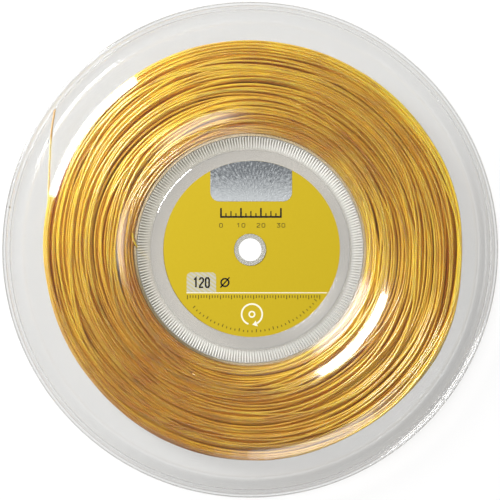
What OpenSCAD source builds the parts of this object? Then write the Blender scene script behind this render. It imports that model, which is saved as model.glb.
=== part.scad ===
// Clear plastic reel holding a long coil of racket string.
// It lies flat on the rim of its back half. The axis is Z, and the origin is the
// centre of that rim's resting face. Sizes are in millimetres.

/* [Reel] */
// Outer diameter of both flanges
reel_d = 270; // [262:1:300]
// Clear width between the flanges at the drum
groove_w = 13; // [12:0.5:16]
// Thickness of the moulded wall
wall_t = 1.8; // [1.4:0.1:2.2]
// How far each flange bulges outward between drum and step
bulge_h = 0.8; // [0.2:0.1:1.2]
// Width of the raised bead round each rim
rim_w = 2.4; // [2:0.1:3.2]
// How far the rim bead stands above the channel inside it
rim_h = 2.1; // [1.9:0.1:2.6]
// Width of the channel inside the rim bead
channel_w = 7.2; // [6:0.2:8]
// How far the channel lies below the flange
channel_drop = 0.9; // [0.5:0.1:1.2]
// Width of the sloping step from flange to channel
step_w = 1.2; // [0.8:0.1:1.6]

/* [Hub] */
// Diameter of the drum over its ribs
drum_d = 127; // [122:1:136]
// Thickness of the drum wall with its ribs
drum_t = 1.5; // [1.3:0.1:2]
// Height of the ribs on the drum and on the hub band
rib_h = 0.4; // [0.3:0.05:0.6]
// Ribs round the drum, and round each hub band
rib_count = 250; // [200:2:280]
// Width of the ribbed band round each hub face
band_w = 7.4; // [6:0.2:9]
// How far the band lies below the flange
band_drop = 0.8; // [0.5:0.1:1]
// How far the hub face stands above the band
shoulder_h = 1.1; // [0.8:0.1:1.4]
// Bore for the spindle
bore_d = 12.5; // [10:0.5:16]
// Wall of the spindle tube
tube_t = 2.35; // [1.8:0.05:3]
// How far the spindle tube stands above the hub face
tube_proud = 0.6; // [0.4:0.1:0.8]
// Wall of the wider middle of the spindle tube
spacer_t = 2; // [1:0.1:3]
// Posts that join the two halves
post_count = 6; // [4:1:8]
// Diameter of each post's pin
post_d = 6; // [4:0.5:8]
// Diameter of the circle of posts
post_circle_d = 60; // [50:1:70]
// Wall of the socket that each pin is welded into
socket_t = 1.6; // [1.2:0.1:2.2]

/* [Labels] */
// Diameter of both labels
label_d = 96; // [86:1:100]
// Thickness of the label sheet
label_t = 0.2; // [0.1:0.05:0.3]
// Thickness of the foil patch and of the blank panel
patch_t = 0.1; // [0.06:0.02:0.16]
// Width of the foil patch
foil_w = 44.8; // [36:0.4:52]
// How far the foil patch reaches in from the label's top edge
foil_h = 22.6; // [18:0.2:26]
// Corner radius of the foil patch and the blank panel
patch_r = 5; // [3:0.5:7]
// Width of the blank panel on the back label
panel_w = 44; // [36:1:46]
// Height of the blank panel on the back label
panel_h = 20; // [14:1:20]
// Gap between the blank panel and the label's bottom edge
panel_gap = 6; // [5:0.5:8]

/* [String] */
// Diameter of the string
string_d = 1.2; // [1.1:0.05:1.35]
// Diameter of the wound coil
coil_d = 226; // [210:1:232]
// Turns laid across the coil's front face
face_turns = 18; // [14:1:18]
// Turns laid round the coil's outside
edge_turns = 5; // [3:1:5]

/* [Fits] */
// Radial clearance where one piece sits inside another
fit_gap = 0.05; // [0.02:0.01:0.1]
// Clearance between the string and the plastic
string_gap = 0.05; // [0.03:0.01:0.1]

/* [Hidden] */

// Smooth circles, the arcs of small outlines, and the flange's bulge
$fn = 128;
corner_steps = 5;
bulge_steps = 14;

reel_r = reel_d / 2;
drum_r = drum_d / 2;
bore_r = bore_d / 2;
label_r = label_d / 2;
coil_r = coil_d / 2;
string_r = string_d / 2;

// Heights above the middle plane, for the outside of the front half
flange_z = groove_w / 2 + wall_t;
channel_z = flange_z - channel_drop;
rim_z = channel_z + rim_h;
band_z = flange_z - band_drop;
hub_z = band_z + shoulder_h;
inner_z = hub_z - wall_t;
tube_z = hub_z + tube_proud;
middle = rim_z;

// Radii, from the rim inward
bead_r = reel_r - rim_w;
step_out_r = bead_r - channel_w;
step_in_r = step_out_r - step_w;
root_r = drum_r;
spigot_r = drum_r - drum_t - fit_gap;
hub_r = drum_r - drum_t - band_w;
tube_r = bore_r + tube_t;
hub_hole_r = tube_r + fit_gap;
corner_r = 0.6;
shoulder_r = 0.5;
shoulder_wall = 1.4;
bury = 0.2;
rib_end_gap = 0.6;
rib_share = 0.5;

// The string's way out through the front flange, and its way in through the drum
slot_angle = 150.4;
slot_skew = 25.6;
slot_w = string_d + 0.8;
slot_l = 9;
notch_angle = 176.7;
notch_skew = 37.3;
notch_w = string_d + 1.4;
notch_l = 9;
notch_depth = 2.6;
park_angle = 170;
park_w = 1;

// The coil's centreline: it lies on the core's front face, then round its outside
ring_step = 15;
chord = cos(ring_step / 2);
face_z = groove_w / 2 - string_gap - string_r;
core_z = face_z - string_r;
coil_in_r = (drum_r + string_gap + string_r) / chord;
coil_out_r = coil_r - string_r;
core_r = coil_out_r * chord - string_r - string_gap;
coil_from = 172;
coil_to = 176.7;
coil_turns = face_turns + edge_turns - (coil_to - coil_from) / 360;

// Route of the string's start, chosen by hand, as [distance inside the drum's left side, y,
// depth below the coil's face turns]
start_route = [[8.1, -5.2, 2.25], [6.4, -3.3, 1.75], [4.6, -1.3, 1.35], [2.9, 0.6, 1.05],
    [1.4, 2.4, 0.75], [0.3, 4.2, 0.45], [-0.4, 6.2, 0.15], [-0.6, 9, 0]];
// Route of the string's tail, chosen by hand, as [x, y, height above the middle plane]
tail_route = [[-112.2, 6.5, -5.85], [-112.1, 9, -5.85], [-112, 12, -5.85], [-111.8, 15, -5.85],
    [-111.6, 18, -5.8], [-111.4, 21, -5.6], [-111.2, 24, -5.2], [-111.1, 27, -4.4], [-110.9, 30, -3.5],
    [-110.7, 33, -2.5], [-110.5, 36, -1.5], [-110.3, 39, -0.5], [-110.1, 42, 0.5], [-109.9, 45, 1.5],
    [-109.7, 48, 2.4], [-109.4, 51, 3.2], [-109.2, 54, 4], [-109, 56.4, 4.6], [-108.8, 58.4, 5.4],
    [-108.6, 60.2, 6.3], [-108.4, 61.8, 7.1], [-108.2, 63.4, 7.8], [-108, 65.2, 8.1],
    [-107.7, 67.4, 8.15], [-107.3, 70, 8.15], [-106.8, 73.2, 8.15], [-106.2, 76.4, 8.15]];

// ---- Outlines ----

// Points of a quarter circle about c, from angle a down to a - 90
function quarter(c, r, a) =
    [for (i = [0:corner_steps]) let (b = a - 90 * i / corner_steps) c + r * [cos(b), sin(b)]];

// Points of the bulging flange face between its root and its step, from height z
function bulge(r0, r1, z) =
    [for (i = [0:bulge_steps]) [r0 + (r1 - r0) * i / bulge_steps,
        z + bulge_h * (1 - cos(360 * i / bulge_steps)) / 2]];

function reversed(points) = [for (i = [len(points) - 1:-1:0]) points[i]];

// Section of a half, right of the axis and above the middle plane
module half_section() {
    outside = concat(
        [[hub_hole_r, hub_z]],
        quarter([hub_r - shoulder_r, hub_z - shoulder_r], shoulder_r, 90),
        [[hub_r, band_z], [drum_r - drum_t, band_z]],
        bulge(root_r, step_in_r, flange_z),
        [[step_out_r, channel_z], [bead_r, channel_z]],
        quarter([bead_r + corner_r, rim_z - corner_r], corner_r, 180),
        quarter([reel_r - corner_r, rim_z - corner_r], corner_r, 90));
    inside = concat(
        [[reel_r, channel_z - wall_t], [step_out_r, channel_z - wall_t]],
        reversed(bulge(root_r, step_in_r, flange_z - wall_t)),
        [[spigot_r, flange_z - wall_t], [spigot_r, band_z - wall_t],
            [hub_r - shoulder_wall, band_z - wall_t], [hub_r - shoulder_wall, inner_z],
            [hub_hole_r, inner_z]]);
    polygon(concat(outside, inside));
}

// Toothed outline: radial ribs of a set share of their pitch, from r0 out to r1
module rib_outline(r0, r1, count) {
    pitch = 360 / count;
    half = pitch * rib_share / 2;
    polygon([for (i = [0:count - 1]) for (p = [[r0, -half], [r1, -half], [r1, half], [r0, half]])
        p[0] * [cos(i * pitch + p[1]), sin(i * pitch + p[1])]]);
}

// Round-ended slot of width w and length l, running along Y
module slot_outline(w, l) {
    for (side = [-1, 1]) translate([0, side * (l - w) / 2]) circle(d = w);
    square([w, l - w], center = true);
}

// Rectangle with round corners, its lower edge on the X axis
module panel_outline(w, h, r) {
    for (side = [-1, 1]) for (y = [r, h - r]) translate([side * (w / 2 - r), y]) circle(r);
    translate([-w / 2 + r, 0]) square([w - 2 * r, h]);
    translate([-w / 2, r]) square([w, h - 2 * r]);
}

// ---- Cord sweep ----

function unit(v) = v / norm(v);
function heading(p, i) = unit(p[min(i + 1, len(p) - 1)] - p[max(i - 1, 0)]);

// Closed tube of radius r with n sides along the points p. One flat of each ring faces up or down.
module tube_along(p, r, n) {
    rings = [for (i = [0:len(p) - 1]) let (
            along = heading(p, i),
            across = unit(cross(along, [0, 0, 1])),
            up = cross(across, along))
        for (k = [0:n - 1]) let (a = 360 * (k + 0.5) / n)
            p[i] + r * (cos(a) * across + sin(a) * up)];
    last = (len(p) - 1) * n;
    sides = [for (i = [0:len(p) - 2]) for (k = [0:n - 1]) let (
            a = i * n + k, b = i * n + (k + 1) % n)
        for (t = [[a, a + n, b], [b, a + n, b + n]]) t];
    ends = [for (k = [1:n - 2]) for (t = [[0, k, k + 1], [last, last + k + 1, last + k]]) t];
    polyhedron(rings, concat(sides, ends));
}

// ---- Moulded reel ----

module half_body() {
    rotate_extrude() half_section();
    // Radial ribs on the hub band, let into the wall below them
    translate([0, 0, band_z - bury]) linear_extrude(rib_h + bury) difference() {
        rib_outline(hub_r - shoulder_r, drum_r - drum_t - rib_end_gap, rib_count);
        circle(hub_r - 2 * shoulder_r);
    }
}

module front_half() {
    color([0.93, 0.94, 0.95, 0.5]) translate([0, 0, middle]) difference() {
        half_body();
        // Slot that the string's tail comes out of
        rotate(slot_angle) translate([(step_in_r + step_out_r) / 2, 0, 0]) rotate(slot_skew)
            linear_extrude(rim_z) slot_outline(slot_w, slot_l);
        // Nick in the rim bead for parking the tail
        rotate(park_angle) translate([bead_r - corner_r, -park_w / 2, channel_z])
            cube([rim_w + 2 * corner_r, park_w, rim_h + corner_r]);
    }
}

module back_half() {
    color([0.9, 0.91, 0.92, 0.5]) translate([0, 0, middle]) mirror([0, 0, 1]) half_body();
}

// Joining posts: a pin of the front half, welded into a socket of the back half
module hub_posts() {
    color([0.9, 0.91, 0.92, 0.6]) translate([0, 0, middle])
        for (i = [0:post_count - 1]) rotate(360 * (i + 0.5) / post_count)
            translate([post_circle_d / 2, 0, -inner_z]) {
                cylinder(d = post_d, h = 2 * inner_z);
                cylinder(d = post_d + 2 * socket_t, h = inner_z);
            }
}

module hub_drum() {
    color([0.96, 0.97, 0.98, 0.6]) translate([0, 0, middle]) difference() {
        translate([0, 0, -groove_w / 2]) linear_extrude(groove_w) difference() {
            union() {
                rib_outline(drum_r - drum_t + fit_gap, drum_r, rib_count);
                circle(drum_r - rib_h);
            }
            circle(drum_r - drum_t);
        }
        // Notch in the front edge that the string's start goes in through
        rotate(notch_angle) translate([drum_r - drum_t / 2, 0, groove_w / 2 - notch_depth])
            rotate(notch_skew) linear_extrude(notch_depth + 1) slot_outline(notch_w, notch_l);
    }
}

module spindle_tube() {
    color([0.85, 0.86, 0.88, 0.6]) translate([0, 0, middle]) difference() {
        union() {
            translate([0, 0, -tube_z]) cylinder(r = tube_r, h = 2 * tube_z);
            translate([0, 0, -inner_z]) cylinder(r = tube_r + spacer_t, h = 2 * inner_z);
        }
        translate([0, 0, -tube_z - 1]) cylinder(r = bore_r, h = 2 * tube_z + 2);
    }
}

// ---- Labels ----

module label_sheet() {
    linear_extrude(label_t) difference() {
        circle(label_r);
        circle(hub_hole_r + fit_gap);
    }
}

module front_label() {
    color([0.84, 0.73, 0.2]) translate([0, 0, middle + hub_z]) label_sheet();
}

module front_foil() {
    color([0.66, 0.7, 0.73]) translate([0, 0, middle + hub_z + label_t]) linear_extrude(patch_t)
        intersection() {
            circle(label_r - fit_gap);
            translate([0, label_r - foil_h]) panel_outline(foil_w, label_r, patch_r);
        }
}

module back_label() {
    color([0.84, 0.73, 0.2]) translate([0, 0, middle - hub_z - label_t]) label_sheet();
}

module back_panel() {
    color([0.95, 0.95, 0.93]) translate([0, panel_gap - label_r, middle - hub_z - label_t - patch_t])
        linear_extrude(patch_t) panel_outline(panel_w, panel_h, patch_r);
}

// ---- String ----

// The wound mass under the outer layer of turns
module string_core() {
    color([0.74, 0.54, 0.2]) translate([0, 0, middle]) rotate_extrude() polygon([
        [drum_r + string_gap, -groove_w / 2 + string_gap], [core_r, -groove_w / 2 + string_gap],
        [core_r, core_z], [drum_r + string_gap, core_z]]);
}

// Centreline of the outer layer, clockwise seen from the front, u turns from its inner end
function coil_point(u) =
    let (a = coil_from - 360 * u, f = min(u, face_turns) / face_turns,
        e = max(u - face_turns, 0) / (coil_turns - face_turns),
        r = coil_in_r + (coil_out_r - coil_in_r) * f)
    [r * cos(a), r * sin(a), face_z * (1 - 2 * e)];

coil_rings = round(coil_turns * 360 / ring_step);
function coil_line() = [for (i = [0:coil_rings]) coil_point(coil_turns * i / coil_rings)];

// Least clear space between rings that lie half a turn or more apart
function least_gap(p) = min([for (i = [0:len(p) - 1]) for (j = [i + 180 / ring_step:1:len(p) - 1])
    norm(p[i] - p[j])]) - string_d;

module string_turns() {
    echo(least_gap_between_turns_mm = least_gap(coil_line()));
    color([0.85, 0.66, 0.24]) translate([0, 0, middle]) tube_along(coil_line(), string_r, 6);
}

module string_start() {
    color([0.55, 0.38, 0.16]) translate([-drum_r, 0, middle + face_z])
        tube_along([for (p = start_route) [p[0], p[1], -p[2]]], string_r, 8);
}

module string_tail() {
    color([0.85, 0.66, 0.24]) translate([0, 0, middle]) tube_along(tail_route, string_r, 8);
}

front_half();
back_half();
hub_drum();
hub_posts();
spindle_tube();
front_label();
front_foil();
back_label();
back_panel();
string_core();
string_turns();
string_start();
string_tail();
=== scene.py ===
"""A bulk reel of golden racket string: two clear moulded halves round a drum, and 200 m of string.

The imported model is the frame. It lies flat on the bench at z = 0, with its axis along Z.
Lengths are in metres, and mm turns the sizes of the real pieces into them.
"""
import math

import bmesh
import bpy
import numpy as np
from mathutils import Matrix, Vector, noise


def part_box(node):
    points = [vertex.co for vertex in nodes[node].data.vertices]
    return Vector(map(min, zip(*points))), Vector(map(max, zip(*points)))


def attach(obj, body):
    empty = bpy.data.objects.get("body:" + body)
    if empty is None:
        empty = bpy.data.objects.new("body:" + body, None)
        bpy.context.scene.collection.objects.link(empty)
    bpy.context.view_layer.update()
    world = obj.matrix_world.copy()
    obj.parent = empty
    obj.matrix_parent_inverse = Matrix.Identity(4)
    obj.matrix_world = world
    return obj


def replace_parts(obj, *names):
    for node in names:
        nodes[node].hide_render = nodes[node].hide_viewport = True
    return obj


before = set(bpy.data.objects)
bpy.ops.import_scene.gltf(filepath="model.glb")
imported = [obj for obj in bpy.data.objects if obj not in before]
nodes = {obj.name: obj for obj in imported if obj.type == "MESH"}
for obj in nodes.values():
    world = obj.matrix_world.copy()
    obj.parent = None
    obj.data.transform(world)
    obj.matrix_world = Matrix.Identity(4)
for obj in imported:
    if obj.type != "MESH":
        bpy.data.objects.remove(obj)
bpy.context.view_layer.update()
mm = 0.001
middle = 9.5 * mm

# ---- Camera ----
# A long lens looks straight down on the front face from a little over a metre, nearly on the axis.


def placed(name, data):
    """Puts an object made of its data in the scene."""
    thing = bpy.data.objects.new(name, data)
    bpy.context.scene.collection.objects.link(thing)
    return thing


lens = bpy.data.cameras.new("camera")
lens.lens = 150
lens.sensor_width = 36
camera = placed("camera", lens)
camera.location = (-0.05 * mm, -0.16 * mm, 1.1517)
bpy.context.scene.camera = camera

# ---- Tail of the string ----
# Extruded polyester monofilament, dyed gold and glossy. The last turn leaves the winding at the
# left, crosses the open groove and comes out through the front flange's slot, where it ends cut off.

string_d = 1.2 * mm
gold = (0.78, 0.56, 0.024)
amber = (0.39, 0.165, 0.01)
# Painted shade for string that lies deep in the winding
buried_shade_copper = (0.5, 0.26, 0.02)
# Painted light: the tail's paler gold inside the groove
painted_light_gold = (0.86, 0.74, 0.42)


def put(tree, kind, settings=None, **sockets):
    """Adds a shader node. A socket's value is a plain one, or the output that feeds it."""
    node = tree.nodes.new("ShaderNode" + kind)
    for field, value in (settings or {}).items():
        setattr(node, field, value)
    for name, value in sockets.items():
        wire(tree, node.inputs[name.replace("_", " ")], value)
    return node


def wire(tree, socket, value):
    """Links an output to a socket, or sets the socket's own value."""
    if isinstance(value, bpy.types.NodeSocket):
        tree.links.new(value, socket)
    elif socket.type == "RGBA" and len(value) == 3:
        socket.default_value = (*value, 1)
    else:
        socket.default_value = value


def maths(tree, operation, first, second=0.0):
    """Adds a Math node and gives its output."""
    node = put(tree, "Math", {"operation": operation})
    wire(tree, node.inputs[0], first)
    wire(tree, node.inputs[1], second)
    return node.outputs[0]


def blend_colour(tree, share, first, second):
    """Mixes two colours by a share, and gives the output."""
    node = put(tree, "Mix", {"data_type": "RGBA"})
    wire(tree, node.inputs[0], share)
    wire(tree, node.inputs[6], first)
    wire(tree, node.inputs[7], second)
    return node.outputs[2]


def mapped(tree, value, low, high, first=0.0, last=1.0, curve="LINEAR"):
    """Maps the values from low to high onto those from first to last."""
    return put(tree, "MapRange", {"interpolation_type": curve}, Value=value, From_Min=low,
               From_Max=high, To_Min=first, To_Max=last).outputs[0]


def cloudy(tree, place, scale, detail, spread=None, **sockets):
    """Adds a Noise Texture, and gives its output, or with a spread a change of that size about 0."""
    cloud = put(tree, "TexNoise", Vector=place, Scale=scale, Detail=detail, **sockets).outputs["Fac"]
    return maths(tree, "MULTIPLY", maths(tree, "SUBTRACT", cloud, 0.5), spread) if spread else cloud


def own_place(tree):
    """Each point's place on its piece."""
    return put(tree, "TexCoord").outputs["Object"]


def along(tree, axis, place):
    """One coordinate of a place."""
    return put(tree, "SeparateXYZ", Vector=place).outputs[axis]


def new_material(name):
    """Gives an empty node material and its tree."""
    material = bpy.data.materials.new(name)
    material.use_nodes = True
    material.node_tree.nodes.clear()
    return material, material.node_tree


def show(tree, shader):
    """Makes a shader the material's surface."""
    put(tree, "OutputMaterial", Surface=shader.outputs[0])


def let_through(tree, body, tint, rays):
    """Shows a shader, but lets the rays that a mask names go straight through, tinted."""
    gap = put(tree, "BsdfTransparent", Color=tint)
    mix = put(tree, "MixShader", Fac=rays)
    tree.links.new(body.outputs[0], mix.inputs[1])
    tree.links.new(gap.outputs[0], mix.inputs[2])
    show(tree, mix)


def string_material(name, base, share, dull_at=1 / 3):
    """Glossy filament that goes from a base colour to amber by a share, which carries painted light and
    shade as well as the dye's variation, and to reddish brown as painted shade where it lies buried.
    Light from lamps passes through it.
    """
    material, tree = new_material(name)
    buried = put(tree, "Attribute", {"attribute_name": "buried"}).outputs["Fac"]
    place = own_place(tree)
    share = maths(tree, "ADD", share(tree, place), cloudy(tree, place, 60.0, 2.0, spread=0.8))
    colour = blend_colour(tree, share, base, amber)
    # Painted shade: the string turns reddish brown where it lies deep in the winding.
    colour = blend_colour(tree, maths(tree, "MULTIPLY", buried, 0.9), colour, buried_shade_copper)
    polish = mapped(tree, buried, 0.0, dull_at, 1.0, 0.2)
    rough = mapped(tree, buried, 0.0, dull_at, 0.27, 0.52)
    body = put(tree, "BsdfPrincipled", Base_Color=colour, Roughness=rough, IOR=1.6,
               Specular_IOR_Level=0.2, Metallic=0.04, Subsurface_Weight=0.95,
               Subsurface_Radius=(1.0, 0.85, 0.5), Subsurface_Scale=0.0012, Coat_Weight=polish,
               Coat_Roughness=0.09, Coat_IOR=2.35)
    let_through(tree, body, (0.74, 0.58, 0.28), put(tree, "LightPath").outputs["Is Shadow Ray"])
    return material


def wound_dye_and_shade(tree, place):
    """The share of amber that the winding's mesh carries, with painted light and shade in it."""
    return put(tree, "Attribute", {"attribute_name": "dye_and_shade"}).outputs["Fac"]


def tail_painted_light(tree, place):
    """Painted light: paler inside the groove, where light comes through the single string, and deeper
    outside.
    """
    return mapped(tree, along(tree, "Z", place), 15.5 * mm, 17.2 * mm, 0.0, 0.6)


def string_curve(name, route, finish):
    """A stretch of string along a route of points, as a round curve."""
    curve = bpy.data.curves.new(name, "CURVE")
    curve.dimensions = "3D"
    curve.bevel_depth = string_d / 2
    curve.bevel_resolution = 3
    curve.use_fill_caps = True
    spline = curve.splines.new("BEZIER")
    spline.bezier_points.add(len(route) - 1)
    for knot, point in zip(spline.bezier_points, route):
        knot.co = point
        knot.handle_left_type = knot.handle_right_type = "AUTO"
    piece = placed(name, curve)
    curve.materials.append(finish)
    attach(piece, "root")
    return piece


filament = string_material("gold_string", gold, wound_dye_and_shade)
lone_filament = string_material("pale_string", painted_light_gold, tail_painted_light)

# Points of the tail, as (x, y, height above the middle plane) in millimetres
tail_points = [
    (-112.2, 6.5, -5.85), (-112.1, 9, -5.85), (-112, 12, -5.85), (-111.8, 15, -5.85),
    (-111.6, 18, -5.8), (-111.4, 21, -5.6), (-111.2, 24, -5.2), (-111.1, 27, -4.4),
    (-110.9, 30, -3.5), (-110.7, 33, -2.5), (-110.5, 36, -1.5), (-110.3, 39, -0.5),
    (-110.1, 42, 0.5), (-109.9, 45, 1.5), (-109.7, 48, 2.4), (-109.4, 51, 3.2),
    (-109.2, 54, 4), (-109, 56.4, 4.6), (-108.8, 58.4, 5.4), (-108.6, 60.2, 6.3),
    (-108.4, 61.8, 7.1), (-108.2, 63.4, 7.8), (-108, 65.2, 8.1), (-107.7, 67.4, 8.15),
    (-107.3, 70, 8.15), (-106.8, 73.2, 8.15), (-106.2, 76.4, 8.15)]
tail_route = [Vector((x, y, z)) * mm + Vector((0, 0, middle)) for x, y, z in tail_points]
tail = string_curve("tail_of_string", tail_route, lone_filament)
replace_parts(tail, "string_tail")

# ---- Bench and light ----
# A white light table under the reel, a grey room round it that is dark overhead, one large soft
# lamp at the upper left, and narrow lamps whose mirror images lie on the front flange as white arcs.

key_azimuth = math.radians(142)
shade_azimuth = math.radians(-45)


def vector_maths(tree, operation, first, second=(0, 0, 0), output="Value"):
    """Adds a Vector Math node and gives its output."""
    node = put(tree, "VectorMath", {"operation": operation})
    wire(tree, node.inputs[0], first)
    wire(tree, node.inputs[1], second)
    return node.outputs[output]


def compass(azimuth):
    """The level direction at an azimuth."""
    return math.cos(azimuth), math.sin(azimuth), 0


def lit_part(name, material, tree, paint, glow, strength):
    """Finishes the part of the bench just made, which shines from inside."""
    part = bpy.context.object
    part.name = name
    show(tree, put(tree, "BsdfPrincipled", Base_Color=paint, Roughness=0.9, Emission_Color=glow,
                   Emission_Strength=strength))
    part.data.materials.append(material)


def bench():
    """The table top: white and lit from inside, with a painted shadow of the reel under its rim, deeper
    towards the lower right.
    """
    bpy.ops.mesh.primitive_plane_add(size=6)
    material, tree = new_material("white_table")
    place = own_place(tree)
    reach = vector_maths(tree, "LENGTH", place)
    away = vector_maths(tree, "DOT_PRODUCT", place, compass(shade_azimuth))
    # Painted shadow: the table is darker in a ring under the reel's rim, more so towards the lower
    # right.
    deep = mapped(tree, away, -20 * mm, 100 * mm, 0.02, 0.25, "SMOOTHSTEP")
    inner = mapped(tree, reach, 124.5 * mm, 129 * mm, curve="SMOOTHSTEP")
    outer = mapped(tree, reach, 133 * mm, 135.5 * mm, 1.0, 0.0, "SMOOTHSTEP")
    shade = maths(tree, "MULTIPLY", maths(tree, "MULTIPLY", inner, outer), deep)
    lit_part("bench", material, tree, blend_colour(tree, shade, (0.18, 0.18, 0.18), (0, 0, 0)),
             blend_colour(tree, shade, (1, 1, 1), (0, 0, 0)), 0.77)


def bench_window():
    """A bright round window in the table top, under the reel's bore."""
    bpy.ops.mesh.primitive_circle_add(vertices=96, radius=6.2 * mm, fill_type="NGON",
                                      location=(0, 0, 0.05 * mm))
    lit_part("bench_window", *new_material("white_window"), (0.5, 0.5, 0.5), (1, 1, 1), 1.1)


def room(side_light=0.45, near_side=0.12, far_side=0.03, dark_cap=26):
    """Even light from the sides, and a ceiling that darkens from the key lamp's side to the other."""
    world = bpy.data.worlds.new("room")
    world.use_nodes = True
    bpy.context.scene.world = world
    tree = world.node_tree
    tree.nodes.clear()
    sky = put(tree, "TexCoord").outputs["Generated"]
    lean = vector_maths(tree, "DOT_PRODUCT", sky, compass(key_azimuth))
    top_light = mapped(tree, lean, -0.22, 0.22, far_side, near_side, "SMOOTHSTEP")
    edge = [math.cos(math.radians(zenith)) for zenith in (dark_cap + 14, dark_cap)]
    ceiling = mapped(tree, along(tree, "Z", sky), *edge, side_light, top_light, "SMOOTHSTEP")
    glow = put(tree, "Background", Color=(1.0, 0.985, 0.965), Strength=ceiling)
    put(tree, "OutputWorld", Surface=glow.outputs[0])


def area_lamp(name, place, turn, width, length, radiance):
    """A rectangular lamp. Its radiance doesn't depend on its size."""
    light = bpy.data.lights.new(name, "AREA")
    light.shape = "RECTANGLE"
    light.size, light.size_y = width, length
    light.energy = radiance * math.pi * width * length
    lamp = placed(name, light)
    lamp.location = place
    lamp.rotation_euler = turn


bench()
bench_window()
room()
bpy.context.scene.view_settings.view_transform = "Standard"
key_zenith = math.radians(48)
key_reach = 1.3
key_place = Vector(compass(key_azimuth)) * math.sin(key_zenith) + Vector((0, 0, math.cos(key_zenith)))
key_place *= key_reach
area_lamp("key_lamp", key_place, (-key_place).to_track_quat("-Z", "Y").to_euler(), 0.55, 0.6, 31.0)

# ---- Clear halves ----
# Each half is one injection moulding in clear polystyrene: a flange that bows outward a little, a
# stepped rim with a raised bead, a hub face, and a band of fine radial ribs round it.

reel_r = 134.98
bead_foot, bead_r, bead_top = 132.2, 133.1, 9.5
channel_in, channel_top = 125.4, 7.4
groove_in, groove_drop = 131.0, 0.45
flange_out, flange_top = 124.2, 8.3
drum_r, drum_in, spigot_r = 63.5, 62.0, 61.95
flange_middle, flange_half = (drum_r + flange_out) / 2, (flange_out - drum_r) / 2
band_top, hub_r, hub_top = 7.5, 54.6, 8.6
bevel_in, bevel_drop = 54.0, 0.25
rib_height, rib_depth, rib_count = 0.32, 0.42, 250
rib_end, rib_fade = 61.4, 0.3
hub_hole_r, recess_r, hub_ceiling = 8.65, 54.1, 6.8
wall, bulge = 1.8, 0.8
cone_out, cone_rounding = 68.3, 30
plain_sides, band_sides = 500, 1500
# Direction in which the ribbed band and the rim bead are painted darker as shade, and the width of the
# painted shade by the hub wall
upper_left_shade_azimuth, corner_shade_width = math.radians(155), 2.4


def flange_bow(radius):
    """How far the flange stands out at a radius, from its height at the drum and the step."""
    return bulge * (1 - ((radius - flange_middle) / flange_half) ** 2)


def rounded(corners, steps=5):
    """An outline through (radius, height, rounding) corners, with an arc at each rounded one."""
    outline = []
    for i, (x, y, rounding) in enumerate(corners):
        here = Vector((x, y))
        before = Vector(corners[i - 1][:2]) - here
        after = Vector(corners[(i + 1) % len(corners)][:2]) - here
        if not rounding:
            outline.append(here)
            continue
        half = before.angle(after) / 2
        reach = min(rounding / math.tan(half), before.length / 2, after.length / 2)
        radius = reach * math.tan(half)
        centre = here + (before.normalized() + after.normalized()).normalized() * radius / math.sin(half)
        first = here + before.normalized() * reach - centre
        last = here + after.normalized() * reach - centre
        outline += [centre + radius * first.slerp(last, k / steps) for k in range(steps + 1)]
    return outline


def half_outline():
    """Section of a half above the middle plane: out along its face, and back along its inside."""
    bow = [drum_r + (flange_out - drum_r) * k / 24 for k in range(25)]
    face = [(hub_hole_r, hub_top, 0.2), (bevel_in, hub_top, 0), (hub_r, hub_top - bevel_drop, 0),
            (hub_r, band_top, 0), (rib_end - rib_fade, band_top, 0), (rib_end, band_top, 0),
            (rib_end + 0.1, band_top, 0), (drum_in, band_top, 0.15)]
    face.append((cone_out, flange_top + flange_bow(cone_out), cone_rounding))
    face += [(r, flange_top + flange_bow(r), 0) for r in bow[:-1] if r > cone_out]
    rim = [(flange_out, flange_top, 0.5), (channel_in, channel_top, 0.35), (groove_in, channel_top, 0.1),
           (bead_foot, channel_top - groove_drop, 0.1), (bead_r, bead_top, 0.8),
           (reel_r, bead_top, 0.9), (reel_r, channel_top - wall, 0.4)]
    inside = [(channel_in, channel_top - wall, 0.35), (flange_out, flange_top - wall, 0.35)]
    inside += [(r, flange_top - wall + flange_bow(r), 0) for r in reversed(bow[:-1])]
    inside += [(spigot_r, flange_top - wall, 0.2), (spigot_r, band_top - wall, 0.2),
               (recess_r, band_top - wall, 0), (recess_r, hub_ceiling, 0),
               (hub_hole_r, hub_ceiling, 0.2)]
    return rounded(face + rim + inside)


def on_band(point):
    """True where the outline runs along the ribbed band."""
    near = 1e-6
    return abs(point.y - band_top) < near and hub_r - near < point.x < rib_end + near


def rib_lift(point, side):
    """How far the band's ring stands above its edge on a rib, or lies below it between ribs."""
    if point.x > rib_end - rib_fade / 2:
        return 0.0
    wave = math.cos(2 * math.pi * side * rib_count / band_sides)
    return (rib_height - rib_depth) / 2 + (rib_height + rib_depth) / 2 * wave


def finished(name, mesh):
    """A mesh made of what was built in bmesh, with its faces turned outward."""
    bmesh.ops.recalc_face_normals(mesh, faces=mesh.faces)
    data = bpy.data.meshes.new(name)
    mesh.to_mesh(data)
    mesh.free()
    return data


def turned_half(name):
    """The half as a closed turned mesh, with more sides along the ribbed band."""
    mesh = bmesh.new()
    rings = []
    outline = half_outline()
    for point in outline:
        sides = band_sides if on_band(point) else plain_sides
        ring = []
        for side in range(sides):
            turn = 2 * math.pi * side / sides
            height = point.y + (rib_lift(point, side) if sides == band_sides else 0)
            ring.append(mesh.verts.new((point.x * math.cos(turn) * mm,
                                        point.x * math.sin(turn) * mm, height * mm)))
        rings.append(ring)
    for first, second in zip(rings, rings[1:] + rings[:1]):
        join_rings(mesh, first, second)
    return finished(name, mesh)


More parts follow.
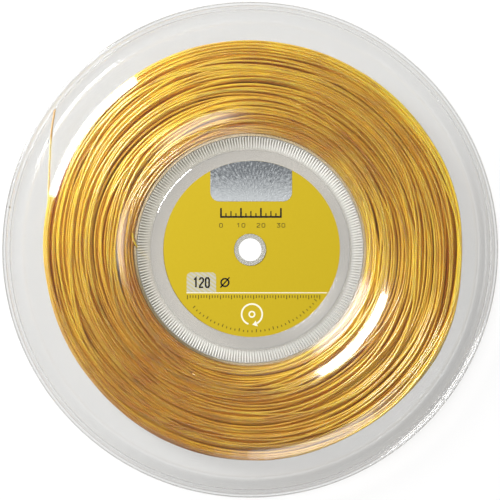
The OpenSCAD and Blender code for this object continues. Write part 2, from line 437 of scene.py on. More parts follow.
def join_rings(mesh, first, second):
    """Faces between two rings, of which one may have several sides for each of the other's."""
    if len(first) == len(second):
        for i, vertex in enumerate(first):
            after = (i + 1) % len(first)
            mesh.faces.new((vertex, first[after], second[after], second[i]))
        return
    coarse, fine = (first, second) if len(first) < len(second) else (second, first)
    share = len(fine) // len(coarse)
    for i, vertex in enumerate(coarse):
        row = [fine[(i * share + k) % len(fine)] for k in range(share + 1)]
        for a, b in zip(row, row[1:]):
            mesh.faces.new((vertex, a, b))
        mesh.faces.new((vertex, row[-1], coarse[(i + 1) % len(coarse)]))


def prisms(name, outlines, low, high):
    """Closed upright prisms over outlines of points, from one height to another."""
    mesh = bmesh.new()
    for outline in outlines:
        base = mesh.faces.new([mesh.verts.new((x * mm, y * mm, low)) for x, y in outline])
        raised = bmesh.ops.extrude_face_region(mesh, geom=[base])
        for item in raised["geom"]:
            if isinstance(item, bmesh.types.BMVert):
                item.co.z = high
    return finished(name, mesh)


def turned(outline, angle, centre=(0, 0)):
    """An outline moved to a centre and then turned about the axis, in degrees."""
    turn = Matrix.Rotation(math.radians(angle), 2)
    return [turn @ (Vector(point) + Vector(centre)) for point in outline]


def round_bar(width, length, steps=12):
    """Outline of a bar along Y with round ends."""
    ends = []
    for side in (1, -1):
        for k in range(steps + 1):
            turn = math.pi * k / steps
            ends.append((side * width / 2 * math.cos(turn),
                         side * ((length - width) / 2 + width / 2 * math.sin(turn))))
    return ends


def solid(name, data, material=None, crease=38):
    """Puts a finished mesh in the scene as a piece of the reel, with crisp edges where it turns."""
    piece = placed(name, data)
    if material:
        data.materials.append(material)
    data.shade_smooth()
    data.set_sharp_from_angle(angle=math.radians(crease))
    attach(piece, "root")
    return piece


def cut_from(data, tools):
    """Gives a mesh less its tools, with the cuts made for good."""
    body = placed("body", data)
    cutters = []
    for tool in tools:
        cutter = placed("cutter", tool)
        cut = body.modifiers.new("cut", "BOOLEAN")
        cut.operation, cut.solver, cut.object = "DIFFERENCE", "EXACT", cutter
        cutters.append(cutter)
    shaped = body.evaluated_get(bpy.context.evaluated_depsgraph_get())
    result = bpy.data.meshes.new_from_object(shaped)
    for helper in cutters + [body]:
        bpy.data.objects.remove(helper)
    return result


def moulding_flow():
    """Node group: the faint waves that flow leaves in a moulded face."""
    group = bpy.data.node_groups.new("moulding_flow", "ShaderNodeTree")
    group.interface.new_socket("Size", in_out="INPUT", socket_type="NodeSocketFloat")
    group.interface.new_socket("Depth", in_out="INPUT", socket_type="NodeSocketFloat")
    group.interface.new_socket("Normal", in_out="OUTPUT", socket_type="NodeSocketVector")
    given = group.nodes.new("NodeGroupInput")
    waves = cloudy(group, own_place(group), given.outputs["Size"], 1.0)
    height = maths(group, "MULTIPLY", waves, given.outputs["Depth"])
    bump = put(group, "Bump", Height=height, Distance=1.0, Strength=1.0)
    group.links.new(bump.outputs[0], group.nodes.new("NodeGroupOutput").inputs["Normal"])
    return group


flow = moulding_flow()


def towards(tree, azimuth, low, high):
    """A mask that goes from 0 to 1 between two distances from the axis along a direction."""
    out = vector_maths(tree, "DOT_PRODUCT", own_place(tree), compass(azimuth))
    return mapped(tree, out, low * mm, high * mm, curve="SMOOTHSTEP")


def soft_rays(tree):
    """A mask of the rays for shadows and soft light, which pass the plastic without bending."""
    path = put(tree, "LightPath")
    return maths(tree, "MAXIMUM", path.outputs["Is Shadow Ray"], path.outputs["Is Diffuse Ray"])


def clear_plastic(name, tint, roughness=0.03, haze=0.004, depth=0.000002, side=None):
    """Clear plastic that lets light through. A side is an azimuth, two distances and a darker tint,
    painted on that side as shade.
    """
    material, tree = new_material(name)
    if side:
        azimuth, low, high, other = side
        tint = blend_colour(tree, towards(tree, azimuth, low, high), tint, other)
    waves = put(tree, "Group", {"node_tree": flow}, Size=70.0, Depth=depth)
    body = put(tree, "BsdfPrincipled", Base_Color=tint, Roughness=roughness, IOR=1.57,
               Transmission_Weight=1 - haze, Normal=waves.outputs["Normal"])
    let_through(tree, body, tint, soft_rays(tree))
    return material


def frosted_ribs():
    """The ribbed band: lightly frosted, with painted shade between its ribs, in the corner by the hub
    wall and on its upper left side.
    """
    material, tree = new_material("frosted_ribs")
    place = own_place(tree)
    height = maths(tree, "ABSOLUTE", maths(tree, "SUBTRACT", along(tree, "Z", place), middle))
    # Painted shade: dark grey between the ribs, more so towards the upper left, and in the corner by the
    # hub wall.
    rib_shade = mapped(tree, height, band_top * mm, (band_top - rib_depth) * mm)
    toward_shaded_side = vector_maths(tree, "DOT_PRODUCT", place, compass(upper_left_shade_azimuth))
    shade_by_side = mapped(tree, toward_shaded_side, -hub_r * mm, hub_r * mm, 0.2, 1.45)
    rib_shade = maths(tree, "MULTIPLY", rib_shade, shade_by_side)
    reach = vector_maths(tree, "LENGTH", vector_maths(tree, "MULTIPLY", place, (1, 1, 0), "Vector"))
    corner = mapped(tree, reach, hub_r * mm, (hub_r + corner_shade_width) * mm, 0.5, 0.0)
    rib_shade = maths(tree, "MAXIMUM", rib_shade, corner)
    grain = cloudy(tree, place, 2500.0, 2.0)
    band_grey = blend_colour(tree, grain, (0.86, 0.85, 0.81), (0.78, 0.77, 0.73))
    # Painted shade: the band is greyer towards the upper left.
    band_grey = blend_colour(tree, towards(tree, upper_left_shade_azimuth, 0, hub_r), band_grey, (0.66, 0.63, 0.55))
    colour = blend_colour(tree, rib_shade, band_grey, (0.23, 0.22, 0.175))
    body = put(tree, "BsdfPrincipled", Base_Color=colour, Roughness=0.25, IOR=1.57,
               Transmission_Weight=0.5)
    let_through(tree, body, (0.7, 0.7, 0.68), soft_rays(tree))
    return material


# One clear plastic in several copies. The hub face copy is tinted darker and warmer as painted shade
# over the hollow hub. The rim bead and rim foot copies are darker as painted shade, the bead more so
# towards the upper left and the foot towards the lower right. The cone copy is only rougher.
crystal = clear_plastic("clear_polystyrene", (0.935, 0.935, 0.93))
cone_face = clear_plastic("clear_cone", (0.935, 0.935, 0.93), roughness=0.095)
hub_face = clear_plastic("clear_hub_face", (0.868, 0.852, 0.822))
rim_bead = clear_plastic("clear_rim_bead", (0.83, 0.83, 0.825),
                         side=(upper_left_shade_azimuth, 60, 120, (0.68, 0.68, 0.675)))
rim_foot = clear_plastic("clear_rim_foot", (0.7, 0.7, 0.69),
                         side=(shade_azimuth, 0, 110, (0.5, 0.5, 0.495)))
slot_angle, slot_skew, slot_width, slot_length = 150.4, 25.6, 2.0, 9.0
nick_angle, nick_width = 170, 1.0
tool_top = middle + 12 * mm
zone_ends = [hub_r, rib_end, cone_out, bead_foot - 0.1, bead_r + 0.35]
ribbed = frosted_ribs()


def half(name, node, mirrored):
    """One half of the reel, in place of its node."""
    data = turned_half(name)
    for vertex in data.vertices:
        vertex.co.z = middle + (-vertex.co.z if mirrored else vertex.co.z)
    if mirrored:
        data.flip_normals()
    else:
        step_r = (flange_out + channel_in) / 2
        slot = turned(turned(round_bar(slot_width, slot_length), slot_skew), slot_angle, (step_r, 0))
        nick = [(bead_r - 0.3, -nick_width / 2), (reel_r + 1, -nick_width / 2),
                (reel_r + 1, nick_width / 2), (bead_r - 0.3, nick_width / 2)]
        data = cut_from(data, [
            prisms("slot_tool", [slot], middle, tool_top),
            prisms("nick_tool", [turned(nick, nick_angle)], middle + channel_top * mm, tool_top)])
    data.materials.clear()
    for plastic in (crystal, ribbed, hub_face, rim_foot, rim_bead, cone_face):
        data.materials.append(plastic)
    for face in data.polygons:
        reach = face.center.xy.length / mm
        outside = abs(face.center.z - middle) > (band_top - rib_depth - 0.1) * mm
        zone = int(np.searchsorted(zone_ends, reach))
        face.material_index = (2, int(outside), 5, 0, 3, 4)[zone]
    piece = solid(name, data, crease=19)
    piece.modifiers.new("even_shading", "WEIGHTED_NORMAL").keep_sharp = True
    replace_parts(piece, node)


half("clear_front_half", "front_half", False)
half("clear_back_half", "back_half", True)

# Narrow lamps over the reel, each where the bowed front flange mirrors it to the camera as an arc.
lamp_height = 1.6
flange_height = middle + (flange_top + bulge / 2) * mm


def mirrored_from(radius):
    """How far from the axis a lamp hangs whose mirror image in the front flange is at a radius."""
    tilt = 2 * bulge * (radius - flange_middle) / flange_half ** 2
    if radius < cone_out:
        tilt = -math.atan((flange_top + flange_bow(cone_out) - band_top) / (cone_out - drum_in))
    lean = math.atan2(radius * mm, camera.location.z - flange_height)
    return radius * mm + (lamp_height - flange_height) * math.tan(2 * tilt + lean)


def arc_lamp(name, inner, outer, first, last, radiance, soft=True, parts=12, faint=0.12, gain=2.5):
    """A row of lamps seen as an arc from radius inner to outer, between two bearings."""
    near, far = mirrored_from(inner), mirrored_from(outer)
    reach, step = (near + far) / 2, math.radians(last - first) / parts
    for part in range(parts):
        bearing = math.radians(first) + step * (part + 0.5)
        fade = min(1.0, faint * gain ** min(part, parts - 1 - part)) if soft else 1.0
        place = Vector(compass(bearing)) * reach + Vector((0, 0, lamp_height))
        area_lamp(f"{name}_{part}", place, (0, 0, bearing), max(abs(far - near), 0.03),
                  1.1 * abs(reach) * step, fade * radiance)


arc_lamp("upper_left_arc", 109.3, 113.4, 124, 164.5, 21.0, soft=False)
arc_lamp("lower_right_arc", 75.0, 79.4, -60, -19, 36.0, soft=False)
arc_lamp("upper_veil", 70.7, 77.2, 90, 134, 3.3)
arc_lamp("left_veil", 69.0, 72.9, 157, 195, 4.0)
arc_lamp("lower_veil", 109.2, 114.2, -100, -44, 3.8)

# ---- Drum, posts and spindle tube ----
# The drum is a ribbed ring of the same plastic, let in between the halves. Six posts of the front
# half are welded in sockets of the back half. A thicker tube takes the user's peg.

# Painted light and shade: the clear drum is tinted amber for the gold light that the winding throws on
# it, and darker towards the lower left.
drum_plastic = clear_plastic("clear_drum", (0.72, 0.61, 0.42), roughness=0.15, haze=0.3,
                             side=(math.radians(220), 42, 62, (0.42, 0.34, 0.2)))
post_plastic = clear_plastic("clear_posts", (0.9, 0.9, 0.88), roughness=0.1, haze=0.15)
tube_plastic = clear_plastic("tube_plastic", (0.56, 0.55, 0.49), roughness=0.18, haze=0.35)


def dress(node, material):
    """Gives a piece that keeps its CAD mesh its finish."""
    nodes[node].data.materials.clear()
    nodes[node].data.materials.append(material)


dress("hub_drum", drum_plastic)
dress("hub_posts", post_plastic)
dress("spindle_tube", tube_plastic)

# ---- Winding ----
# A machine lays the string to and fro across the groove while the reel turns. Each turn rests on
# those below it, so the layers cross at small angles and leave narrow gaps.

turns, stations = 344, 160
string_r, groove_half, wall_gap = 0.6, 6.5, 0.05
winding_from, winding_to = 172, 176.7
start_r, start_ease, tail_ease = 64.73, 30, 40
front_turns = groove_half - string_r - wall_gap
pieces, ring_sides = 5, 8
# Painted light and shade in the string's colour: more amber towards the lower side and near the drum on
# the key lamp's side, more gold along the key lamp's axis and along the outer edge on the right.
string_shade_azimuth = math.radians(-75)
drum_shade, shade_depth = 0.6, 15
bright_azimuth, bright_depth, bright_tone = math.radians(15), 7, 0.8
top_layer, bury_depth, edge_depth = 0.3, 3.6, 3.5
# The last layers lean out towards the front flange on one side
front_lean, lean_depth, lean_azimuth = 2.3, 8.0, math.radians(-40)
# Outer edge of the winding, as (angle, radius)
coil_edge = [(-140, 112.4), (-110, 113.8), (-84, 115.6), (-60, 116.6), (-45, 117.5), (-30, 118.5),
             (-18, 118.3), (-5, 116.5), (10, 116.3), (25, 115.8), (40, 114.4), (60, 112.8),
             (80, 112.2), (100, 112.7), (120, 113), (180, 113.2)]


def groove_wall(radius):
    """How far the flange's inside lies from the middle plane."""
    return groove_half + flange_bow(np.clip(radius, drum_r, flange_out))


def room_across(radius):
    """How far from the middle plane the string's centre may lie."""
    return groove_wall(radius) - string_r - wall_gap


def eased(values, goal, share):
    """Values drawn smoothly to a goal, as a share goes from 0 to 1."""
    share = np.clip(share, 0, 1)
    share = share * share * (3 - 2 * share)
    return values * (1 - share) + goal * share


def slow_noise(rng, count, knot):
    """Random values that change smoothly, with one knot every so many stations."""
    values = rng.standard_normal(int(count / knot) + 4)
    along_knots = np.arange(count) / knot
    below = along_knots.astype(int)
    return eased(values[below], values[below + 1], along_knots - below)


def traverse(rng, count, pass_mean=8.0, pass_spread=1.2, pass_least=4.5, dwell_mean=0.5,
             dwell_spread=0.4, overshoot=0.3, drift=0.4):
    """Where the machine's guide lays the string across the groove, from wall to wall and back."""
    knots, sides = [0.0], [1.0]
    side = -1.0
    while knots[-1] < turns + 20:
        pass_turns = max(pass_mean + pass_spread * rng.standard_normal(), pass_least)
        dwell = abs(rng.normal(dwell_mean, dwell_spread))
        knots += [knots[-1] + pass_turns, knots[-1] + pass_turns + dwell]
        sides += [side, side]
        side = -side
    guide = np.interp(np.arange(count) / stations, knots, sides)
    guide *= groove_half - string_r + overshoot
    return guide + drift * slow_noise(rng, count, stations)


def softened(values, width):
    """A running average with a smooth window."""
    window = np.hanning(width + 2)[1:-1]
    padded = np.pad(values, (width // 2, width // 2), mode="edge")
    return np.convolve(padded, window / window.sum(), "valid")


class Pile:
    """Heights of the string already wound, by station round the reel and place across it."""

    cell, span = 0.1, 8.0

    def __init__(self):
        self.across = np.arange(-self.span, self.span + self.cell / 2, self.cell)
        self.top = np.full((stations, len(self.across)), drum_r + wall_gap)
        reach = int(string_r / self.cell) + 1
        self.foot = np.arange(-reach, reach + 1)

    def under(self, place):
        """The cells below the string at these places, and how far its own side bulges over each."""
        centre = np.round((place - self.across[0]) / self.cell).astype(int)
        cells = centre[:, None] + self.foot[None, :]
        offset = self.across[cells] - place[:, None]
        bulging = np.sqrt(np.maximum(string_r ** 2 - offset ** 2, 0))
        return cells, bulging, np.abs(offset) < string_r

    def support(self, station, place):
        """The least radius at which the string clears what lies below it."""
        cells, bulging, inside = self.under(place)
        return np.where(inside, self.top[station[:, None], cells] + bulging, 0).max(1)

    def add(self, station, place, radius):
        """Lays string on the pile."""
        cells, bulging, inside = self.under(place)
        rows = station[:, None]
        now = self.top[rows, cells]
        self.top[rows, cells] = np.where(inside, np.maximum(now, radius[:, None] + bulging), now)


def wind(seed=6, chunk=16, bridge=14, rise=3.0, slip=0.6, stick=0.3, slide=12):
    """Radius and height of the string at each station, wound turn on turn.

    The string slips sideways into grooves, by up to slip and over slide stations, and spans
    hollows: it can follow the pile no more sharply than rise over bridge stations."""
    rng = np.random.default_rng(seed)
    count = turns * stations + 1
    guide = traverse(rng, count)
    radius, height = np.zeros(count), np.zeros(count)
    pile = Pile()
    steps = np.arange(-bridge, bridge + 1)
    lift = rise * (steps / bridge) ** 2
    past = np.full(bridge, drum_r + string_r)
    slipped = np.zeros(slide)
    for start in range(0, count, chunk):
        size = min(chunk, count - start)
        index = np.arange(start, start + size + bridge)
        station = index % stations
        limit = room_across(past[-1])
        wanted = np.clip(guide[np.minimum(index, count - 1)], -limit, limit)
        tries = np.arange(-slip, slip + 0.01, 0.1)
        costs = [pile.support(station, np.clip(wanted + move, -limit, limit)) + stick * abs(move)
                 for move in tries]
        best = tries[np.argmin(costs, axis=0)]
        trail = np.concatenate([slipped, best, np.full(slide // 2, best[-1])])
        late = slide * 3 // 2
        slid = np.convolve(trail, np.ones(slide) / slide, "full")[late:late + len(best)]
        slipped = np.concatenate([slipped, best[:size]])[-slide:]
        place = np.clip(wanted + slid, -limit, limit)
        held = np.concatenate([past, pile.support(station, place)])
        laid = np.max([held[bridge + step:bridge + step + size] - low
                       for step, low in zip(steps, lift)], axis=0)
        radius[start:start + size] = laid
        height[start:start + size] = place[:size]
        pile.add(station[:size], place[:size], laid)
        past = np.concatenate([past, laid])[-bridge:]
    return softened(radius, 31), softened(height, 25)


def swayed(radius, height, outer, sway=2.2, lift=0.5, knot=20, fade=4.0, deep=3.5, seed=23):
    """The winding with its loosely laid string swaying out and in, so that turns cross."""
    rng = np.random.default_rng(seed)
    room = np.clip((radius - drum_r - string_r) / fade, 0, 1) * np.clip((outer - radius) / fade, 0, 1)
    room *= 1.3 - 1.15 * np.clip((groove_wall(radius) - np.abs(height)) / deep, 0, 1)
    radius = radius + sway * room * slow_noise(rng, len(radius), knot)
    height = height + lift * np.sign(height) * slow_noise(rng, len(radius), knot)
    limit = room_across(radius)
    return radius, np.clip(height, -limit, limit)


def wound_centreline():
    """Angle, radius, height and outer edge of the winding, eased to the string's start and end."""
    radius, height = wind()
    count = len(radius)
    angle = np.radians(np.linspace(winding_from, winding_to - 360 * turns, count))
    edge_angles, edge_radii = zip(*coil_edge)
    outer = np.interp(np.degrees(angle), edge_angles, edge_radii, period=360) - string_r
    last_turn = radius[-stations:].mean()
    radius = drum_r + (radius - drum_r) * (outer - drum_r) / (last_turn - drum_r)
    radius, height = swayed(radius, height, outer)
    lean = front_lean * np.clip(np.cos(angle - lean_azimuth), 0, 1) ** 2
    radius += lean * np.clip((radius - outer) / lean_depth + 1, 0, 1) * height / groove_half
    tail_start = tail_points[0]
    leaving = (np.arange(count) - (count - tail_ease)) / (tail_ease - 1)
    entering = (start_ease - np.arange(count)) / start_ease
    radius = eased(eased(radius, math.hypot(*tail_start[:2]), leaving), start_r, entering)
    height = eased(eased(height, tail_start[2], leaving), front_turns, entering)
    return angle, radius, height, outer


def string_look(angle, radius, height, outer, mean=0.46, key_axis_light=0.3, lower_side_shade=0.15, seed=11):
    """Share of amber along the winding, from the dye's random variation with painted light and shade
    added, and how deep the string lies buried.
    """
    dye_and_shade = 0.1 * slow_noise(np.random.default_rng(seed), len(angle), stations / 2)
    # Painted light and shade: golder along the key lamp's axis, more amber across it and towards the
    # lower side.
    dye_and_shade += (mean - key_axis_light * np.cos(2 * (angle - key_azimuth))
             + lower_side_shade * np.cos(angle - string_shade_azimuth))
    # Painted shade near the drum on the key lamp's side.
    dye_and_shade += drum_shade * np.clip(1 - (radius - drum_r) / shade_depth, 0, 1) * np.cos(angle - key_azimuth)
    buried = groove_wall(radius) - string_r - np.abs(height) - top_layer
    buried = np.clip(buried / bury_depth, 0, 1) * np.clip((outer - radius) / edge_depth, 0.1, 1)
    # Painted light: golder, and less buried, along the outer edge on the right.
    bright = np.clip(1 - (outer - radius) / bright_depth, 0, 1)
    bright *= np.clip(np.cos(angle - bright_azimuth), 0, 1) ** 2
    dye_and_shade -= bright_tone * bright
    buried *= 1 - bright
    return dye_and_shade, buried


def wound_string():
    """The winding as a few long pieces of tube, so that none has too many faces."""
    angle, radius, height, outer = wound_centreline()
    dye_and_shade, buried = string_look(angle, radius, height, outer)
    flat_r = string_r / math.cos(math.pi / ring_sides)
    around = 2 * np.pi * (np.arange(ring_sides) + 0.5) / ring_sides
    bounds = np.linspace(0, len(angle) - 1, pieces + 1).astype(int)
    for number, (first, last) in enumerate(zip(bounds, bounds[1:]), 1):
        part = slice(first, last + 1)
        out = radius[part, None] + flat_r * np.cos(around)
        up = height[part, None] + flat_r * np.sin(around)
        points = np.stack([out * np.cos(angle[part, None]), out * np.sin(angle[part, None]), up],
                          axis=-1).reshape(-1, 3) * mm
        points[:, 2] += middle
        rings = last + 1 - first
        ring = np.arange(rings - 1)[:, None] * ring_sides
        side = np.arange(ring_sides)
        after = (side + 1) % ring_sides
        walls = np.stack([ring + side, ring + after, ring + ring_sides + after,
                          ring + ring_sides + side], axis=-1).reshape(-1, 4)
        ends = [list(range(ring_sides))[::-1], list(range((rings - 1) * ring_sides, rings * ring_sides))]
        data = bpy.data.meshes.new(f"wound_string_{number}")
        data.from_pydata(points.tolist(), [], walls.tolist() + ends)
        for trait, values in (("dye_and_shade", dye_and_shade), ("buried", buried)):
            layer = data.attributes.new(trait, "FLOAT", "POINT")
            layer.data.foreach_set("value", np.repeat(values[part], ring_sides).astype(np.float32))
        piece = solid(data.name, data, filament, crease=180)
        if number == 1:
            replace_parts(piece, "string_core")
        if number == pieces:
            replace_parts(piece, "string_turns")


wound_string()

# ---- Start of the string ----
# The first end goes in through the drum's notch and lies inside the hub, under the ribbed band.

# Points of the start, as (distance inside the drum's left side, y, depth below the front turns)
start_points = [(8.1, -5.2, 2.25), (6.4, -3.3, 1.75), (4.6, -1.3, 1.35), (2.9, 0.6, 1.05),
                (1.4, 2.4, 0.75), (0.3, 4.2, 0.45), (-0.4, 6.2, 0.15), (-0.6, 9, 0)]
start_route = [Vector((x - drum_r, y, front_turns - depth)) * mm + Vector((0, 0, middle))
               for x, y, depth in start_points]
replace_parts(string_curve("start_of_string", start_route, filament), "string_start")

# ---- Labels ----
# Round labels of yellow printed film cover both hub faces, the front one stuck on a little off the
# axis. It carries a patch of crinkled silver foil, a gauge tag and a few plain printed marks.

label_low, label_top = (corner.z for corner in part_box("front_label"))
label_r, label_hole = 48.0, 8.7
label_x, label_y = 0.9, 0.46
yellow = (0.43, 0.315, 0.011)
ink_height = 0.04 * mm


def film(name, colour, roughness=0.42):
    """Printed film: nearly flat, with a faint mottle and slack ripples."""
    material, tree = new_material(name)
    place = own_place(tree)
    mottle = cloudy(tree, place, 900.0, 3.0)
    ripple = cloudy(tree, place, 45.0, 2.0)
    shade = blend_colour(tree, mottle, colour, [0.94 * channel for channel in colour])
    bump = put(tree, "Bump", Height=ripple, Distance=0.0003, Strength=0.25)
    show(tree, put(tree, "BsdfPrincipled", Base_Color=shade, Roughness=roughness,
                   Specular_IOR_Level=0.15, Normal=bump.outputs[0]))
    return material


def label_sheet(sides=240):
    """The front label: a thin ring whose hole is on the axis and whose edge is not."""
    mesh = bmesh.new()
    rings = []
    turns_round = [2 * math.pi * side / sides for side in range(sides)]
    for radius, x, y, z in ((label_r, label_x, label_y, label_low),
                            (label_r, label_x, label_y, label_top),
                            (label_hole, 0, 0, label_top), (label_hole, 0, 0, label_low)):
        rings.append([mesh.verts.new(((x + radius * math.cos(turn)) * mm,
                                      (y + radius * math.sin(turn)) * mm, z))
                      for turn in turns_round])
    for first, second in zip(rings, rings[1:] + rings[:1]):
        join_rings(mesh, first, second)
    return finished("front_label_sheet", mesh)


yellow_film = film("yellow_film", yellow)
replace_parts(solid("front_label_sheet", label_sheet(), yellow_film), "front_label")
dress("back_label", yellow_film)

# Foil patch: left, right and lower edge from the label's centre, and its lower corners' rounding
foil_left, foil_right, foil_foot, foil_corner = -22.5, 21.9, 25.84, 5.0


def crinkle(x, y):
    """Height of the foil's fine creases, which fan out upward, as a share of their depth."""
    out, turn = math.hypot(x, y - 18), math.atan2(x, y - 18)
    fan = abs(noise.noise(Vector((turn * 26, out * 0.35, 1.0))))
    creases = abs(noise.noise(Vector((x * 1.3, y * 1.3, 5.0))))
    crease_noise = noise.noise(Vector((x * 3.1, y * 3.1, 9.0)))
    return 0.75 - 0.7 * fan - 0.7 * creases + 0.3 * crease_noise


def foil_patch(columns=220, rows=110, depth=0.14 * mm):
    """The foil as a sheet with creased top, cut to the label's edge above."""
    mesh = bmesh.new()
    layers = []
    for top in (False, True):
        layer = []
        for i in range(columns + 1):
            x = foil_left + (foil_right - foil_left) * i / columns
            side = foil_corner - min(x - foil_left, foil_right - x, foil_corner)
            low = foil_foot + foil_corner - math.sqrt(foil_corner ** 2 - side ** 2)
            high = math.sqrt((label_r - 0.05) ** 2 - x ** 2)
            line = []
            for j in range(rows + 1):
                y = low + (high - low) * j / rows
                inside = 0 < i < columns and 0 < j < rows
                z = label_top + (0.03 * mm + depth * (crinkle(x, y) if inside else 0.3) if top else 0)
                line.append(mesh.verts.new(((label_x + x) * mm, (label_y + y) * mm, z)))
            layer.append(line)
        layers.append(layer)
    for layer in layers:
        for first, second in zip(layer, layer[1:]):
            for j in range(rows):
                mesh.faces.new((first[j], second[j], second[j + 1], first[j + 1]))
    borders = [[line[0] for line in layer] + layer[-1][1:] + [line[-1] for line in layer[-2::-1]]
               + layer[0][-2:0:-1] for layer in layers]
    join_rings(mesh, *borders)
    return finished("foil_patch", mesh)


def crinkled_foil():
    """Silver foil, duller and bluer towards its upper edge, with painted shade along a fan of fine
    creases.
    """
    material, tree = new_material("crinkled_foil")
    place = own_place(tree)
    up = along(tree, "Y", place)
    crease_noise = cloudy(tree, place, 1300.0, 3.0, spread=1.5)
    height = mapped(tree, up, 27 * mm, 46 * mm)
    across = maths(tree, "SUBTRACT", along(tree, "X", place), label_x * mm)
    above = maths(tree, "SUBTRACT", up, 26 * mm)
    turn = maths(tree, "ARCTAN2", across, above)
    reach = vector_maths(tree, "LENGTH", put(tree, "CombineXYZ", X=across, Y=above).outputs[0])
    fan_place = put(tree, "CombineXYZ", X=maths(tree, "MULTIPLY", turn, 14.0),
                    Y=maths(tree, "MULTIPLY", reach, 260.0)).outputs[0]
    # Painted shade: dark streaks fanning out across the foil.
    crease_noise = maths(tree, "ADD", crease_noise, cloudy(tree, fan_place, 1.6, 3.0, spread=2.6, Roughness=0.6))
    share = maths(tree, "ADD", height, maths(tree, "MULTIPLY", crease_noise, maths(tree, "ADD", height, 0.25)))
    colour = put(tree, "ValToRGB", Fac=share)
    ramp = colour.color_ramp.elements
    ramp[0].position, ramp[0].color = 0.0, (0.42, 0.44, 0.45, 1)
    ramp[1].position, ramp[1].color = 1.0, (0.11, 0.12, 0.13, 1)
    show(tree, put(tree, "BsdfPrincipled", Base_Color=colour.outputs[0], Metallic=0.3, Roughness=0.4))
    return material


patch = solid("foil_patch", foil_patch(), crinkled_foil(), crease=80)
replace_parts(patch, "front_foil")


def ink(name, colour):
    """Printed ink, through which the film's mottle shows."""
    return film(name, colour, roughness=0.5)


def ribbons(name, lines, material, low=label_top, high=label_top + ink_height):
    """Flat printed lines, each a list of points from the label's centre, a width and whether closed."""
    mesh = bmesh.new()
    for points, width, closed in lines:
        points = [Vector(point) for point in points]
        widths = width if isinstance(width, tuple) else (width,) * len(points)
        rings = []
        for i, point in enumerate(points):
            before = points[i - 1] if closed or i else None
            after = points[(i + 1) % len(points)] if closed or i < len(points) - 1 else None
            into = (point - before if before is not None else after - point).normalized()
            out = (after - point if after is not None else point - before).normalized()
            across = Vector((-into.y - out.y, into.x + out.x)).normalized()
            reach = widths[i] / 2 / max(across.dot(Vector((-into.y, into.x))), 0.4)
            edges = [point + across * reach, point - across * reach]
            corners = [(edges[0], low), (edges[0], high), (edges[1], high), (edges[1], low)]
            rings.append([mesh.verts.new(((label_x + edge.x) * mm, (label_y + edge.y) * mm, z))
                          for edge, z in corners])
        pairs = list(zip(rings, rings[1:])) + ([(rings[-1], rings[0])] if closed else [])
        for first, second in pairs:
            join_rings(mesh, first, second)
        if not closed:
            mesh.faces.new(rings[0])
            mesh.faces.new(rings[-1])
    solid(name, finished(name, mesh), material)


# Strokes of the plain figures, in a box one unit wide and two high
figures = {
    "0": [(0.25, 0), (0.75, 0), (1, 0.3), (1, 1.7), (0.75, 2), (0.25, 2), (0, 1.7), (0, 0.3)],
    "1": [(0.1, 1.6), (0.6, 2), (0.6, 0)],
    "2": [(0, 1.55), (0, 1.75), (0.25, 2), (0.75, 2), (1, 1.75), (1, 1.3), (0, 0.3), (0, 0), (1, 0)],
    "3": [(0, 2), (1, 2), (0.45, 1.2), (0.75, 1.2), (1, 0.95), (1, 0.3), (0.75, 0), (0.25, 0), (0, 0.3)],
}


def number(text, left, foot, height, width, pitch, stroke):
    """Lines of a plain number, from its left foot."""
    lines = []
    for place, figure in enumerate(text):
        points = [(left + place * pitch + x * width, foot + y * height / 2) for x, y in figures[figure]]
        lines.append((points, stroke, figure == "0"))
    return lines


def tick(x, foot, head, width):
    """An upright line."""
    return [(x, foot), (x, head)], width, False


def arc(centre, radius, first, last, steps=48):
    """Points along an arc, between two bearings."""
    turns_round = [math.radians(first + (last - first) * k / steps) for k in range(steps + 1)]
    return [(centre[0] + radius * math.cos(turn), centre[1] + radius * math.sin(turn))
            for turn in turns_round]


black_ink = ink("black_ink", (0.008, 0.008, 0.01))
olive_ink = ink("olive_ink", (0.09, 0.07, 0.01))
white_ink = ink("white_ink", (0.7, 0.68, 0.55))

# A measuring scale with its figures, and the diameter sign beside the gauge
scale_left, scale_right, scale_foot = -17.2, 16.3, 17.4
long_tick, middle_tick, short_tick = 4.8, 3.2, 2.0
thick, thin = 0.9, 0.6
scale_lines = [([(scale_left, scale_foot), (scale_right, scale_foot)], 1.0, False)]
scale_ticks = np.linspace(scale_left + thick / 2, scale_right - thick / 2, 13)
for step, x in enumerate(scale_ticks):
    head = scale_foot + (long_tick, short_tick, middle_tick, short_tick)[step % 4]
    scale_lines.append(tick(x, scale_foot + 0.5, head, thin if step % 4 else thick))
sign = (-14.6, -18.3)
scale_lines += [(arc(sign, 2.1, 0, 351, 40), 0.85, True),
                ([(sign[0] - 2.5, sign[1] - 2.8), (sign[0] + 2.5, sign[1] + 2.8)], 0.7, False)]
ribbons("black_print", scale_lines, black_ink)

small_lines = []
for x, text in zip(scale_ticks[::4], ("0", "10", "20", "30")):
    small_lines += number(text, x - 0.8 - 1.35 * (len(text) - 1), 11.75, 2.1, 1.6, 2.7, 0.36)
row_left, row_head, row_pitch, fine_line = -35.0, -25.2, 1.5, 0.45
for step in range(49):
    foot = -26.7 if step % 4 else -27.4
    small_lines.append(tick(row_left + row_pitch * step, foot, row_head, fine_line))
arc_from, arc_pitch, arc_r = -134.8, 3, 45.4
for step in range(33):
    out = Vector(compass(math.radians(arc_from + arc_pitch * step))[:2])
    small_lines.append(([out * (44.3 if step % 4 else 43.7), out * arc_r], fine_line, False))
ribbons("olive_print", small_lines, olive_ink)

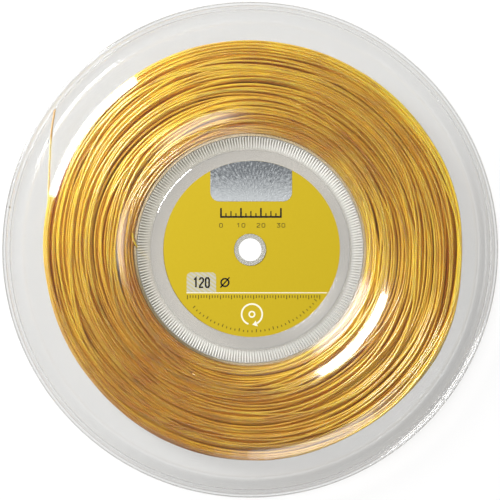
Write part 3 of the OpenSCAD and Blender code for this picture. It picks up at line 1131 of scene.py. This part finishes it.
# A thin white rule, and an open ring with an arrow for the way that the string comes off
ring, ring_r, eye_r = (0.1, -35.6), 5.6, 1.5
arrow = arc(ring, ring_r, -62, -88, 2)
ribbons("white_print", [([(-35.5, -23.9), (41.1, -23.9)], 0.48, False),
                        (arc(ring, ring_r, 250, -60), 0.9, False),
                        (arrow, (3.4, 1.6, 0.1), False),
                        (arc(ring, eye_r, 0, 345, 24), 0.8, True)], white_ink)


def striped_tag(stripe_pitch=2.2 * mm):
    """Light grey tag with pale yellow diagonal stripes."""
    material, tree = new_material("striped_tag")
    place = own_place(tree)
    slant = maths(tree, "MULTIPLY", along(tree, "X", place), 0.72)
    slant = maths(tree, "ADD", slant, along(tree, "Y", place))
    wave = maths(tree, "SINE", maths(tree, "MULTIPLY", slant, 2 * math.pi / stripe_pitch))
    share = mapped(tree, wave, -0.5, 0.5)
    mottle = cloudy(tree, place, 900.0, 3.0)
    pale = blend_colour(tree, mottle, (0.41, 0.395, 0.34), (0.38, 0.37, 0.32))
    colour = blend_colour(tree, share, pale, (0.39, 0.35, 0.18))
    show(tree, put(tree, "BsdfPrincipled", Base_Color=colour, Roughness=0.45))
    return material


def tag_outline(left=-35.4, right=-19.4, foot=-23.6, head=-12.8, corner=2.5):
    """Outline of the tag, with its two upper corners round."""
    right_top = arc((right - corner, head - corner), corner, 0, 90, 8)
    left_top = arc((left + corner, head - corner), corner, 90, 180, 8)
    return [(label_x + x, label_y + y) for x, y in [(left, foot), (right, foot)] + right_top + left_top]


solid("gauge_tag", prisms("gauge_tag", [tag_outline()], label_top, label_top + ink_height),
      striped_tag())
ribbons("gauge_figures", number("120", -31.5, -20.9, 5.1, 1.9, 3.2, 0.9), black_ink,
        low=label_top + ink_height, high=label_top + 2 * ink_height)

# The back label is plain, with a blank white sticker for writing the batch on
dress("back_panel", film("white_paper", (0.62, 0.62, 0.6)))
panel_low, panel_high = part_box("back_panel")
rules = []
for step in range(1, 4):
    rule_y = (panel_low.y + (panel_high.y - panel_low.y) * step / 4) / mm - label_y
    rules.append(([(panel_low.x / mm + 2 - label_x, rule_y), (panel_high.x / mm - 2 - label_x, rule_y)],
                  0.3, False))
ribbons("batch_rules", rules, ink("grey_ink", (0.3, 0.3, 0.3)), low=panel_low.z - 0.02 * mm,
        high=panel_low.z + 0.01 * mm)
